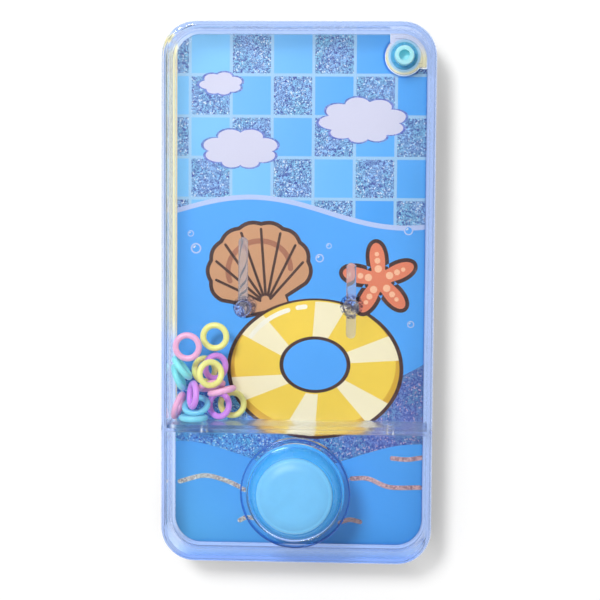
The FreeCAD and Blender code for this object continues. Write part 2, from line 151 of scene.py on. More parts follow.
def newMaterial(name):
    material = bpy.data.materials.new(name)
    material.use_nodes = True
    tree = material.node_tree
    tree.nodes.clear()
    return material, tree


def finishMaterial(tree, shader):
    addNode(tree, "OutputMaterial", {"Surface": shader})


def finishSolid(tree, inputs):
    finishMaterial(tree, nodeValue(tree, "BsdfPrincipled", inputs))


def makeBump(tree, values, height, **under):
    inputs = {"Strength": values["bump"], "Distance": values["bump depth"] * mm, "Height": height}
    return nodeValue(tree, "Bump", {**inputs, **under})


handling = {
    "smudge scale": 0.09,
    "smudge range": (0.45, 0.75),
    "smudge share": 0.7,
    "scratch turns": (0.5, -0.95),
    "scratch stretch": (0.05, 2.6, 1),
    "scratch range": (0.70, 0.76),
}


def makeHandling(values):
    # Handling marks of moulded plastic: soft smudges and fine crossing scratches. It gives the
    # roughness between the two values that go in, and a height for a Bump node
    inputs = {"Polished": 0.03, "Dull": 0.12, "Scratches": 0.5}
    group, ins, outs = newGroup("handlingMarks", inputs, {"Roughness": "Float", "Height": "Float"})
    smudge = noiseInMm(group, values["smudge scale"], 3.0)
    smudge = remap(group, smudge, *values["smudge range"])
    lines = []
    for turn in values["scratch turns"]:
        place = placeInMm(group, turn, values["scratch stretch"])
        streak = nodeValue(group, "TexNoise", {"Vector": place, "Scale": 1.0, "Detail": 1.0})
        lines.append(remap(group, streak, *values["scratch range"]))
    scratch = times(group, mathNode(group, "MAXIMUM", *lines), ins["Scratches"])
    wear = mathNode(group, "MAXIMUM", times(group, smudge, values["smudge share"]), scratch)
    group.links.new(remap(group, wear, 0.0, 1.0, ins["Polished"], ins["Dull"]), outs["Roughness"])
    group.links.new(scratch, outs["Height"])
    return group


film = {
    "turn": 0.3,
    "crinkle": {"Detail": 1.0, "Distortion": 1.6},
    "crinkle range": (0.53, 0.59),
    "specks per crinkle": 1.7,
    "speck share": 0.12,
    "flash range": (0.90, 0.96),
    "drift": {"Scale": 0.16, "Detail": 2.0},
    "drift range": (0.35, 0.65),
    "drift share": 0.75,
}


def makeGlitterFilm(values):
    # Holographic film: crinkles between a dark and a light colour, with a few bright flakes,
    # that drift over a few millimetres from one tint to another
    inputs = {
        "Flake": 0.4,
        "Dark": (0, 0, 0.3, 1),
        "Light": (0.5, 0.7, 1, 1),
        "Drift": (0.1, 0.6, 0.6, 1),
        "Flash": (1, 1, 1, 1),
    }
    group, ins, outs = newGroup("glitterFilm", inputs, {"Color": "Color", "Sparkle": "Float"})
    flat = placeInMm(group, values["turn"])
    scale = mathNode(group, "DIVIDE", 1.0, ins["Flake"])
    crinkle = {"Vector": flat, "Scale": scale, **values["crinkle"]}
    crinkle = nodeValue(group, "TexNoise", crinkle, noise_dimensions="2D")
    speck = times(group, scale, values["specks per crinkle"])
    flakes = addNode(group, "TexVoronoi", {"Vector": flat, "Scale": speck}, voronoi_dimensions="2D")
    random = addNode(group, "SeparateColor", {0: flakes.outputs["Color"]}).outputs
    drift = {"Vector": flat, **values["drift"]}
    drift = nodeValue(group, "TexNoise", drift, noise_dimensions="2D")
    drifting = times(group, remap(group, drift, *values["drift range"]), values["drift share"])
    light = mixColors(group, drifting, ins["Light"], ins["Drift"])
    mixed = mathNode(group, "ADD", crinkle, times(group, random[0], values["speck share"]))
    color = mixColors(group, remap(group, mixed, *values["crinkle range"]), ins["Dark"], light)
    sparkle = remap(group, random[1], *values["flash range"])
    group.links.new(mixColors(group, sparkle, color, ins["Flash"]), outs["Color"])
    group.links.new(sparkle, outs["Sparkle"])
    return group


grain = {
    "turn": 0.26,
    "dots": {"Scale": 5.0, "Detail": 0.0},
    "clouds": {"Scale": 0.045, "Detail": 2.0},
}


def makePrintGrain(values):
    # A fine grain of ink dots over a slow unevenness of a few centimetres
    inputs = {"Color": (1, 1, 1, 1), "Grain": 0.05, "Cloud": 0.08}
    group, ins, outs = newGroup("printGrain", inputs, {"Color": "Color"})
    flat = placeInMm(group, values["turn"])
    parts = []
    for noise, share in ((values["dots"], ins["Grain"]), (values["clouds"], ins["Cloud"])):
        centred = minus(group, nodeValue(group, "TexNoise", {"Vector": flat, **noise}), 0.5)
        parts.append(times(group, centred, times(group, share, 2.0)))
    level = mathNode(group, "ADD", mathNode(group, "ADD", *parts), 1.0)
    shaded = nodeValue(group, "VectorMath", {0: ins["Color"], "Scale": level}, operation="SCALE")
    group.links.new(shaded, outs["Color"])
    return group


def makeBorderMask():
    # 1 outside a rectangle with round corners and 0 inside it, with a soft step between: the
    # distance from the inset rectangle, less the corner's radius
    inputs = {"Across": 0.0, "Up": 0.0, "Half Width": 35.0, "Half Height": 72.0, "Corner": 8.0, "Blur": 0.2}
    group, ins, outs = newGroup("borderMask", inputs, {"Mask": "Float"})
    place = axesInMm(group)
    beyond = []
    for axis, middle, half in ((0, "Across", "Half Width"), (1, "Up", "Half Height")):
        inset = minus(group, ins[half], ins["Corner"])
        offset = minus(group, place[axis], ins[middle])
        past = minus(group, mathNode(group, "ABSOLUTE", offset), inset)
        beyond.append(mathNode(group, "MAXIMUM", past, 0.0))
    away = lengthOf(group, nodeValue(group, "CombineXYZ", {0: beyond[0], 1: beyond[1]}))
    outside = minus(group, away, ins["Corner"])
    half = times(group, ins["Blur"], 0.5)
    step = remap(group, outside, times(group, half, -1.0), half)
    group.links.new(step, outs["Mask"])
    return group


def circleBorder(radius, across=0.0, up=0.0, **inputs):
    # The border mask's inputs for a circle: a square whose corners take up all of it
    sizes = {"Half Width": radius, "Half Height": radius, "Corner": radius}
    return {"Across": across, "Up": up, **sizes, **inputs}


borderMask = makeBorderMask()
handlingMarks = makeHandling(handling)
glitterFilm = makeGlitterFilm(film)
printGrain = makePrintGrain(grain)

portPlace = (28.8, 66.0)  # the filling port's middle, seen from the front
buttonPlace = (0.0, -54.5)
pegSockets = ((-15.4, -4.3), (14.75, -3.7))
clearPlastics = {
    "clearShell": {
        "ior": 1.38,
        "tint": (250, 252, 255),
        "thick": (226, 234, 249),
        "border": {"Up": 1.4, "Half Width": 34.4, "Half Height": 69.6, "Corner": 6.4, "Blur": 0.6},
        "patches": (
            {"tint": (244, 238, 214), "across": -36.0, "half": 0.3, "up": (-14.0, -7.0)},
            # painted refraction: the blue print seen through the bottom wall, painted into the wall's tint
            {"tint": (190, 212, 248), "across": 0.0, "half": 34.0, "up": (-71.5, -72.8)},
        ),
        "shade": (0.80, 0.15),
        "milky": 0.20,
        "marks": {"Polished": 0.015, "Dull": 0.08},
    },
    "rearClear": {
        "ior": 1.22,
        "tint": (254, 254, 251),
        "thick": (172, 190, 224),
        "border": {"Half Width": 35.1, "Half Height": 72.1, "Corner": 7.3},
        "patches": (
            {"tint": (250, 238, 192), "across": -35.5, "half": 0.8, "up": (-14.0, -7.0)},
            {"tint": (196, 194, 162), "across": -35.6, "half": 0.35, "up": (-14.0, -7.0)},
            # painted refraction: the blue print seen through the bottom wall, painted into the wall's tint
            {"tint": (168, 192, 236), "across": 0.0, "half": 34.0, "up": (-71.5, -72.4)},
        ),
        "shade": (0.85, 0.40),
        "milky": 0.20,
        "sockets": pegSockets,
        "socket tints": ((104, 112, 160), (248, 248, 255)),
        # painted shade: the rear plate round the filling port is tinted a darker blue in place of the
        # shadow line round the pocket
        "port": circleBorder(5.9, *portPlace, Blur=0.6),
        "port tint": (150, 184, 228),
        "marks": {"Polished": 0.02, "Dull": 0.09},
    },
    "pocketCream": {
        "ior": 1.22,
        "tint": (146, 186, 212),
        "thick": (190, 196, 220),
        "border": circleBorder(4.5, *portPlace, Blur=0.5),
        "patches": ({"tint": (206, 200, 166), "across": 28.8, "half": 20.0, "up": (69.5, 65.5)},),
        "shade": (0.85, 0.60),
        "marks": {"Polished": 0.10, "Dull": 0.20},
    },
    "collarClear": {
        "ior": 1.42,
        "tint": (246, 250, 255),
        # painted edge: the deep blue of the collar's outer wall stands in for the dark line its clear rim
        # shows by refraction
        "thick": (76, 136, 208),
        "border": circleBorder(14.75, *buttonPlace),
        "shade": (0.95, 0.85),
        "marks": {"Polished": 0.015, "Dull": 0.07},
    },
    "pegClear": {
        "ior": 1.24,
        "tint": (226, 230, 240),
        "clear": 0.84,
        "sockets": pegSockets,
        "socket tints": ((120, 124, 166), (248, 248, 255)),
        "shade": (0.85, 0.75),
        "marks": {"Polished": 0.12, "Dull": 0.22},
    },
}
moulding = {
    "clear": 1.0,
    "ripple scale": 0.11,
    "scratch depth": 0.012,
    "bump": 0.06,
    "bump depth": 0.5,
    "divider up": -37.45,
    "divider half": 1.15,
    "soft edge": 0.1,
    "socket radius": 3.25,
    "socket rough": 0.14,
    "swirl": {"scale": 0.9, "detail": 1.0, "Distortion": 1.6},
    "swirl depth": 8.0,
    "swirl range": (0.44, 0.54),
    "shade range": (0.20, 0.62),
    "lee slope": 0.5,
    "lee range": (-12.0, 12.0),
}


def addSocket(tree, values, socket, height, rough, tint):
    # The moulded socket of a peg is rippled and a little frosted
    outside = useGroup(tree, borderMask, circleBorder(values["socket radius"], *socket))["Mask"]
    rough = mixValues(tree, outside, values["socket rough"], rough)
    swirl = noiseInMm(tree, **values["swirl"])
    deep = times(tree, minus(tree, 1.0, outside), values["swirl depth"])
    height = mathNode(tree, "ADD", height, times(tree, swirl, deep))
    dark, light = [srgb(*color) for color in values["socket tints"]]
    streaked = mixColors(tree, remap(tree, swirl, *values["swirl range"]), dark, light)
    return height, rough, mixColors(tree, outside, streaked, tint)


def makeWallTint(tree, values):
    # The deeper tint of the upright walls, with a few patches of another tint along them. The blue patches
    # along the bottom walls are a painted refraction of the blue print, and the collar's deep blue wall
    # tint is a painted dark edge
    thick = srgb(*values["thick"])
    soft = values["soft edge"]
    for patch in values.get("patches", ()):
        place = axesInMm(tree)
        away = mathNode(tree, "ABSOLUTE", minus(tree, place[0], patch["across"]))
        side = remap(tree, away, patch["half"] + soft, patch["half"] - soft)
        share = times(tree, side, remap(tree, place[1], *patch["up"]))
        thick = mixColors(tree, share, thick, srgb(*patch["tint"]))
    return thick


def passLamp(tree, values, shade, solid):
    # A lamp's light goes straight through, less where it meets a wall at a flat angle. The walls
    # away from the lamp pass the least: they cast the soft shadow and the print stays bright
    place = axesInMm(tree)
    lean = minus(tree, place[0], times(tree, place[1], values["lee slope"]))
    loss = remap(tree, lean, *values["lee range"], *[1.0 - share for share in values["shade"]])
    passed = mixColors(tree, times(tree, shade, loss), (1, 1, 1, 1), (0, 0, 0, 1))
    through = nodeValue(tree, "BsdfTransparent", {"Color": passed})
    path = addNode(tree, "LightPath").outputs
    straight = mathNode(tree, "MAXIMUM", path["Is Shadow Ray"], path["Is Diffuse Ray"])
    return nodeValue(tree, "MixShader", {0: straight, 1: solid, 2: through})


def makeClear(name, values):
    # Clear moulded styrene, deeper in tint in its upright walls; some wall tints are painted: a painted
    # refraction of the print along the bottom walls and a painted dark edge on the collar
    material, tree = newMaterial(name)
    marks = useGroup(tree, handlingMarks, values["marks"])
    scratches = times(tree, marks["Height"], values["scratch depth"])
    height = mathNode(tree, "ADD", noiseInMm(tree, values["ripple scale"], 1.0), scratches)
    rough = marks["Roughness"]
    if "milky" in values:
        away = minus(tree, axesInMm(tree)[1], values["divider up"])
        half = values["divider half"]
        inDivider = remap(tree, mathNode(tree, "ABSOLUTE", away), half + values["soft edge"], half)
        rough = mixValues(tree, inDivider, rough, values["milky"])
    tint = srgb(*values["tint"])
    for socket in values.get("sockets", ()):
        height, rough, tint = addSocket(tree, values, socket, height, rough, tint)
    # painted shade round the filling port: a darker blue tint inside the circle
    if "port" in values:
        outside = useGroup(tree, borderMask, values["port"])["Mask"]
        tint = mixColors(tree, outside, srgb(*values["port tint"]), tint)
    normal = makeBump(tree, values, height)
    facing = addNode(tree, "LayerWeight", {"Blend": 0.5}).outputs["Facing"]
    shade = remap(tree, facing, *values["shade range"])
    if "border" in values:
        wall = useGroup(tree, borderMask, values["border"])["Mask"]
        tint = mixColors(tree, wall, tint, makeWallTint(tree, values))
        shade = times(tree, shade, wall)
    inputs = {
        "Base Color": tint,
        "Roughness": rough,
        "IOR": values["ior"],
        "Transmission Weight": values["clear"],
        "Normal": normal,
    }
    solid = nodeValue(tree, "BsdfPrincipled", inputs)
    finishMaterial(tree, passLamp(tree, values, shade, solid))
    return material


tintedPlastics = {
    "capBlue": {
        "color": (122, 202, 255),
        "soft": 0.3,
        "crown": {
            "centre": (*buttonPlace, 0.0),
            "from": 6.5,
            "to": 9.4,
            "fall": 0.075,
            "bump": 1.0,
            "bump depth": 1.0,
        },
    },
    "plugBlue": {
        "color": (128, 216, 255),
        "soft": 0.9,
        "depth": 2.0,
        # painted light: the stem's top and its bore are painted lighter, against the shade in the bore
        "stem": {"color": (176, 244, 255), "from": 4.05, "bore": circleBorder(1.7, *portPlace)},
    },
}
ringLook = {"soft": 0.6, "depth": 0.6}
ringColors = {
    "Yellow": (255, 250, 156),
    "Pink": (255, 190, 226),
    "Cyan": (150, 244, 255),
    "Blue": (140, 228, 255),
    "Purple": (228, 158, 255),
}
satin = {
    "marks": {"Polished": 0.34, "Dull": 0.52, "Scratches": 0.4},
    "flow scale": 0.22,
    "flow range": (0.35, 0.65),
    "flow tint": (0.95, 0.95, 0.95, 1),
    "skin scale": 3.5,
    "skin share": 0.2,
    "bump": 0.12,
    "bump depth": 0.1,
    "ior": 1.46,
    "depth": 0.7,  # how far light goes in
}


def paintStemLight(tree, stem, color):
    # The stopper's stem and its bore are painted lighter: painted light for the light that comes through
    # them, which also takes the shade out of the bore
    above = mathNode(tree, "GREATER_THAN", axesInMm(tree)[2], stem["from"])
    bore = minus(tree, 1.0, useGroup(tree, borderMask, stem["bore"])["Mask"])
    return mixColors(tree, mathNode(tree, "MAXIMUM", above, bore), color, srgb(*stem["color"]))


def addCrown(tree, crown, normal):
    # The flat top of the cap falls off softly toward its edge
    fromMiddle = {0: placeInMm(tree), 1: crown["centre"]}
    offset = nodeValue(tree, "VectorMath", fromMiddle, operation="SUBTRACT")
    flat = nodeValue(tree, "VectorMath", {0: offset, 1: (1, 1, 0)}, operation="MULTIPLY")
    within = mathNode(tree, "MINIMUM", lengthOf(tree, flat), crown["to"])
    beyond = mathNode(tree, "MAXIMUM", minus(tree, within, crown["from"]), 0.0)
    fall = times(tree, mathNode(tree, "POWER", beyond, 2.0), -crown["fall"])
    return makeBump(tree, crown, fall, Normal=normal)


def makeTinted(name, values):
    # Soft pigmented plastic: a satin face with light inside it, faint flow marks of the pigment
    # and scuffs that dull it
    material, tree = newMaterial(name)
    marks = useGroup(tree, handlingMarks, values["marks"])
    streak = remap(tree, noiseInMm(tree, values["flow scale"], 3.0), *values["flow range"])
    color = srgb(*values["color"])
    if "stem" in values:
        color = paintStemLight(tree, values["stem"], color)
    deep = mixColors(tree, 1.0, color, values["flow tint"], "MULTIPLY")
    skin = times(tree, noiseInMm(tree, values["skin scale"], 2.0), values["skin share"])
    height = mathNode(tree, "ADD", skin, marks["Height"])
    normal = makeBump(tree, values, height)
    if "crown" in values:
        normal = addCrown(tree, values["crown"], normal)
    inputs = {
        "Base Color": mixColors(tree, streak, deep, color),
        "Roughness": marks["Roughness"],
        "IOR": values["ior"],
        "Subsurface Weight": values["soft"],
        "Subsurface Radius": (1.0, 1.0, 1.0),
        "Subsurface Scale": values["depth"] * mm,
        "Normal": normal,
    }
    finishSolid(tree, inputs)
    return material


bellowsLook = {
    "color": (74, 178, 255),
    "marks": {"Polished": 0.26, "Dull": 0.40},
    "bloom scale": 0.3,
    "pale": 0.92,
    "ior": 1.45,
    "soft": 0.4,
    "depth": 1.0,
}


def makeBellowsBlue(values):
    # Soft translucent blue of the button's skirt
    material, tree = newMaterial("bellowsBlue")
    marks = useGroup(tree, handlingMarks, values["marks"])
    bloom = noiseInMm(tree, values["bloom scale"], 2.0)
    color = srgb(*values["color"])
    pale = [channel * values["pale"] for channel in color[:3]] + [1]
    inputs = {
        "Base Color": mixColors(tree, bloom, pale, color),
        "Roughness": marks["Roughness"],
        "IOR": values["ior"],
        "Subsurface Weight": values["soft"],
        "Subsurface Radius": (1.0, 1.0, 1.0),
        "Subsurface Scale": values["depth"] * mm,
    }
    finishSolid(tree, inputs)
    return material


nodeLooks = {
    "clearShell": ["front_shell"],
    "rearClear": ["rear_shell"],
    "pocketCream": ["filling_pocket"],
    "collarClear": ["clamp_ring"],
    "pegClear": ["peg_left", "peg_right"],
    "capBlue": ["pump_cap"],
    "plugBlue": ["fill_plug"],
}
for hue, color in ringColors.items():
    tintedPlastics["ring" + hue] = {"color": color, **ringLook}
    nodeLooks["ring" + hue] = [name for name in nodes if name.startswith("ring_" + hue.lower())]
for look, dressed in nodeLooks.items():
    if look in clearPlastics:
        material = makeClear(look, {**moulding, **clearPlastics[look]})
    else:
        material = makeTinted(look, {**satin, **tintedPlastics[look]})
    for name in dressed:
        nodes[name].material_slots[0].material = material
print("plastics on the carried nodes:", len(nodeLooks))


inkFinish = {"grain": 0.05, "cloud": 0.06, "rough": 0.38}


def finishPrint(material, tree, color, values):
    grained = {"Color": color, "Grain": values["grain"], "Cloud": values["cloud"]}
    grained = useGroup(tree, printGrain, grained)["Color"]
    finishSolid(tree, {"Base Color": grained, "Roughness": values["rough"]})
    return material


def ink(name, values):
    # One printed colour on the glossy card
    material, tree = newMaterial(name)
    return finishPrint(material, tree, srgb(*values["color"]), {**inkFinish, **values})


filmFinish = {"rough": (0.42, 0.16), "bump": 0.3, "bump depth": 0.05, "lean from": -22.0, "lean to": 24.0}


def filmOf(tree, values):
    colors = zip(("Dark", "Light", "Drift", "Flash"), values["colors"])
    colors = {part: srgb(*color) for part, color in colors}
    return useGroup(tree, glitterFilm, {"Flake": values["flake"], **colors})


def glitter(name, values):
    # A printed colour over holographic film, which may lean to other colours from left to right
    material, tree = newMaterial(name)
    printed = filmOf(tree, values)
    color, sparkle = printed["Color"], printed["Sparkle"]
    if "lean" in values:
        side = remap(tree, axesInMm(tree)[0], filmFinish["lean from"], filmFinish["lean to"])
        color = mixColors(tree, 1.0, color, mixColors(tree, side, *values["lean"]), "MULTIPLY")
    rough = remap(tree, sparkle, 0.0, 1.0, *filmFinish["rough"])
    normal = makeBump(tree, filmFinish, sparkle)
    finishSolid(tree, {"Base Color": color, "Roughness": rough, "Normal": normal})
    return material


tiles = {
    "pitch": (11.6, 11.57),
    "grout lines": (-8.05, 37.75),  # where one line each way lies
    "grout": 0.85,
    "grout edge": (0.85, 1.15),  # where the grout ends softly, in shares of its half width
    "grout color": (160, 205, 245),
    "left": (120, 198, 255),
    "right": (66, 166, 255),
    "left to right": (-28.0, 30.0),
    "spread": 0.5,  # how far single tiles stray in colour
    "level": (1.02, 0.97),
    "film": {
        "flake": 0.50,
        # dark, light, drift and flash
        "colors": ((30, 56, 160), (152, 204, 255), (130, 208, 240), (222, 238, 255)),
    },
    "grain": 0.05,
    "cloud": 0.05,
    "rough": 0.36,
}


def poolTiles(values):
    # Pool tiles in a chequer: every other one is glitter film, and the plain ones go from light
    # blue at the left to a fuller blue at the right
    material, tree = newMaterial("poolTiles")
    place = axesInMm(tree)
    index, seam = [], []
    for axis, pitch in enumerate(values["pitch"]):
        offset = minus(tree, place[axis], values["grout lines"][axis])
        along = mathNode(tree, "DIVIDE", offset, pitch)
        index.append(mathNode(tree, "FLOOR", along))
        half = values["grout"] / 2 / pitch
        edge = [half * share for share in values["grout edge"]]
        seam.append(remap(tree, mathNode(tree, "PINGPONG", along, 0.5), *edge, 1.0, 0.0))
    parity = mathNode(tree, "PINGPONG", mathNode(tree, "ADD", *index), 1.0)
    cell = nodeValue(tree, "CombineXYZ", {0: index[0], 1: index[1]})
    random = addNode(tree, "TexWhiteNoise", {"Vector": cell}).outputs["Value"]
    side = remap(tree, place[0], *values["left to right"])
    stray = times(tree, minus(tree, random, 0.5), values["spread"])
    side = mathNode(tree, "MAXIMUM", mathNode(tree, "ADD", side, stray), 0.0)
    side = mathNode(tree, "MINIMUM", side, 1.0)
    plain = mixColors(tree, side, srgb(*values["left"]), srgb(*values["right"]))
    level = remap(tree, random, 0.0, 1.0, *values["level"])
    plain = nodeValue(tree, "VectorMath", {0: plain, "Scale": level}, operation="SCALE")
    color = mixColors(tree, parity, plain, filmOf(tree, values["film"])["Color"])
    grout = mathNode(tree, "MAXIMUM", *seam)
    color = mixColors(tree, grout, color, srgb(*values["grout color"]))
    return finishPrint(material, tree, color, values)


water = {
    "upper": (74, 168, 255),
    "lower left": (84, 182, 255),
    "lower right": (62, 160, 252),
    "down": (-40.0, -72.0),
    "across": (-32.0, 32.0),
    "grain": 0.04,
    "cloud": 0.09,
    "rough": 0.38,
}


def poolWater(values):
    # Plain water of the print, a little fuller in colour towards the lower corners
    material, tree = newMaterial("poolWater")
    upper, left, right = [srgb(*values[part]) for part in ("upper", "lower left", "lower right")]
    place = axesInMm(tree)
    lower = mixColors(tree, remap(tree, place[0], *values["across"]), left, right)
    color = mixColors(tree, remap(tree, place[1], *values["down"]), upper, lower)
    return finishPrint(material, tree, color, values)


inks = {
    "waveFoam": {"color": (186, 204, 250)},
    "deepGlitter": {
        "flake": 0.55,
        "colors": ((24, 72, 186), (112, 180, 255), (96, 204, 236), (210, 238, 255)),
        "lean": ((0.8, 1, 1, 1), (1, 0.56, 0.66, 1)),
    },
    "strokeGlitter": {
        "flake": 0.6,
        "colors": ((150, 138, 150), (238, 226, 216), (206, 224, 214), (250, 246, 244)),
        "lean": ((0.92, 1, 1, 1), (1, 0.66, 0.74, 1)),
    },
    "cloudEdge": {
        "flake": 0.7,
        "colors": ((74, 92, 190), (122, 142, 222), (100, 150, 220), (160, 160, 236)),
    },
    "cloudInk": {"color": (216, 216, 242)},
    "outlineInk": {"color": (58, 22, 18)},
    "floatInk": {"color": (250, 214, 74), "cloud": 0.10},
    "floatShade": {"color": (222, 172, 44), "cloud": 0.10},
    "floatStripe": {"color": (255, 244, 206)},
    "shellInk": {"color": (206, 152, 112), "cloud": 0.10},
    "shellShade": {"color": (166, 104, 78), "cloud": 0.10},
    "starInk": {"color": (236, 130, 96), "cloud": 0.10},
    "starDots": {"color": (255, 196, 160)},
    "glintInk": {"color": (255, 250, 232)},
    "marginInk": {"color": (255, 248, 222)},
    "cardPaper": {"color": (232, 236, 240)},
}
cardInks = {"poolWater": poolWater(water), "poolTiles": poolTiles(tiles)}
for name, values in inks.items():
    cardInks[name] = glitter(name, values) if "flake" in values else ink(name, values)
print("inks:", len(cardInks))

card = {
    "half width": 35.3,
    "half height": 72.3,
    "corner": 7.5,
    "bottom": 0.04,
    "top": 0.36,
    "port radius": 5.4,
    "port side": 24.9,
    "port foot": (0.62, 322),  # where the cut-out meets the right edge: share down, and angle
}


def columns(x, y):
    return np.stack([x, y], 1)


def arc(centre, radius, start, end, count):
    # Points on a circle from one angle to another, in degrees
    angle = np.radians(np.linspace(start, end, count))
    return columns(centre[0] + radius * np.cos(angle), centre[1] + radius * np.sin(angle))


def cardOutline(values):
    # A rectangle with round corners; the upper right one steps round the filling port
    wide, high, corner = values["half width"], values["half height"], values["corner"]
    inX, inY = wide - corner, high - corner
    radius, side = values["port radius"], values["port side"]
    below, enter = values["port foot"]
    leave = math.degrees(math.acos((side - portPlace[0]) / radius))
    parts = [
        arc((-inX, -inY), corner, 180, 270, 24),
        arc((inX, -inY), corner, 270, 360, 24),
        [(wide, portPlace[1] - radius * below)],
        arc(portPlace, radius, enter, leave, 40),
        [(side, high)],
        arc((-inX, inY), corner, 90, 180, 24),
    ]
    return np.concatenate([np.asarray(part, float) for part in parts])


def turned(points, tilt, centre):
    # Points turned about the origin, in degrees, and carried to a centre
    x, y = np.asarray(points, float).T
    cosine, sine = math.cos(math.radians(tilt)), math.sin(math.radians(tilt))
    return columns(centre[0] + x * cosine - y * sine, centre[1] + x * sine + y * cosine)


def smoothLoop(count, reach, centre, tilt=0.0, squeeze=1.0):
    # A closed line round a centre. Its reach is a number or a function of the angle
    angle = np.linspace(0, 2 * np.pi, count, endpoint=False)
    radius = reach(angle) if callable(reach) else reach
    return turned(columns(radius * np.cos(angle), radius * np.sin(angle) * squeeze), tilt, centre)


def offsetLoop(loop, distance):
    # The same closed line moved outwards along its normals
    ahead = np.roll(loop, -1, 0) - np.roll(loop, 1, 0)
    ahead /= np.linalg.norm(ahead, axis=1)[:, None]
    return loop + distance * columns(ahead[:, 1], -ahead[:, 0])


def ribbon(line, width):
    # A stroke: an open line given a width, with round ends
    line = np.asarray(line, float)
    ahead = np.gradient(line, axis=0)
    ahead /= np.linalg.norm(ahead, axis=1)[:, None]
    side = columns(-ahead[:, 1], ahead[:, 0]) * width / 2
    endAngle = math.degrees(math.atan2(ahead[-1, 1], ahead[-1, 0]))
    startAngle = math.degrees(math.atan2(ahead[0, 1], ahead[0, 0]))
    endCap = arc(line[-1], width / 2, endAngle - 90, endAngle + 90, 9)[1:-1]
    startCap = arc(line[0], width / 2, startAngle + 90, startAngle + 270, 9)[1:-1]
    return np.concatenate([line - side, endCap, (line + side)[::-1], startCap])


def curveThrough(points, count):
    # A smooth line through a few points: cubic Hermite pieces with central slopes
    points = np.asarray(points, float)
    slope = np.gradient(points, axis=0)
    spot = np.linspace(0, len(points) - 1, count)
    low = np.clip(spot.astype(int), 0, len(points) - 2)
    t = (spot - low)[:, None]
    first, last = points[low], points[low + 1]
    return (
        (2 * t**3 - 3 * t**2 + 1) * first
        + (t**3 - 2 * t**2 + t) * slope[low]
        + (3 * t**2 - 2 * t**3) * last
        + (t**3 - t**2) * slope[low + 1]
    )


shapes = []  # what is printed, from the lowest layer up: (outline, ink)


def paint(outline, inkName):
    shapes.append((np.asarray(outline, float), inkName))


def band(across, low, high):
    # What lies between two lines, each given by its heights at the same places across
    return np.concatenate([columns(across, low), columns(across, high)[::-1]])


outlineWidth = 1.1
pool = {
    "half width": 36,
    "top": 74,
    "wave": {"up": 22.4, "height": 4.2, "pace": 0.072, "shift": 14, "foam": 0.7},
    "deep low": {"up": -46.8, "height": 3.6, "length": 34},
    "deep high": {"up": -33, "height": 13, "power": 1.6},
    "margin": [(-36, -36), (-34.9, -36), (-34.9, 68), (-36, 68)],
    "strokes": (
        [(-34, -54.9), (-27, -53.1), (-21, -54.4), (-15.3, -56.9)],
        [(15.3, -53.3), (20, -53.3), (26, -55.6), (34.7, -55.6)],
        [(26.7, -47.3), (31, -47.6), (35.0, -47.0)],
        [(-16.7, -65.9), (-14.6, -64.9), (-12.6, -65.0)],
        [(12, -66.0), (14.8, -65.2), (17.7, -65.8)],
    ),
    "stroke width": 1.3,
}


def paintPool(values):
    # The tiles above the wave, the wave's foam, the deep water, the border and the strokes
    half, top = values["half width"], values["top"]
    across = np.linspace(-half, half, 73)
    wave = values["wave"]
    crest = wave["up"] + wave["height"] * np.cos(wave["pace"] * (across + wave["shift"]))
    paint(np.concatenate([columns(across, crest), [(half, top), (-half, top)]]), "poolTiles")
    paint(band(across, crest + wave["foam"], crest - wave["foam"]), "waveFoam")
    low, high = values["deep low"], values["deep high"]
    bed = low["up"] - low["height"] * np.cos(across * math.pi / low["length"])
    edge = high["up"] + high["height"] * np.abs(across / half) ** high["power"]
    paint(band(across, bed, edge), "deepGlitter")
    paint(values["margin"], "marginInk")
    for points in values["strokes"]:
        paint(ribbon(curveThrough(points, 28), values["stroke width"]), "strokeGlitter")


clouds = (
    {"centre": (17.5, 47.5), "size": 12.5, "puffs": 9},
    {"centre": (-17.0, 39.5), "size": 11.0, "puffs": 8},
    {"centre": (-22.5, 58.0), "size": 6.2, "puffs": 7},
)
cloudShape = {"edge": 0.75, "squeeze": 0.58, "swell": 0.20, "power": 0.7, "flat": 0.25}


def paintCloud(centre, size, puffs):
    # A puffy cloud: its radius swells once for each puff, flatter below
    shape = cloudShape

    def puffed(grow):
        def reach(angle):
            swell = np.abs(np.sin(angle * puffs / 2)) ** shape["power"]
            flat = np.where(np.sin(angle) < 0, 1 - shape["flat"] * np.abs(np.sin(angle)), 1)
            return size * (1 - shape["swell"] + shape["swell"] * swell) * flat + grow

        return reach

    paint(smoothLoop(160, puffed(shape["edge"]), centre, 0, shape["squeeze"]), "cloudEdge")
    paint(smoothLoop(160, puffed(0.0), centre, 0, shape["squeeze"]), "cloudInk")


def paintOutlined(loop, fill):
    paint(offsetLoop(loop, outlineWidth), "outlineInk")
    paint(loop, fill)


fanShell = {
    "centre": (-11.5, 6.0),
    "radius": 13.5,
    "tilt": 12,
    "ribs": 9,
    "spread": (-28, 208),
    "squeeze": 0.92,
    "scallop": 0.05,
    "ears": ((-0.42, -0.62), (-0.46, -0.86), (0.46, -0.86), (0.42, -0.62)),
    "shade": 0.66,
    "shade width": 1.5,
    "hinge": -0.72,
    "rib ends": (0.12, 0.93),
    "rib width": 0.75,
}


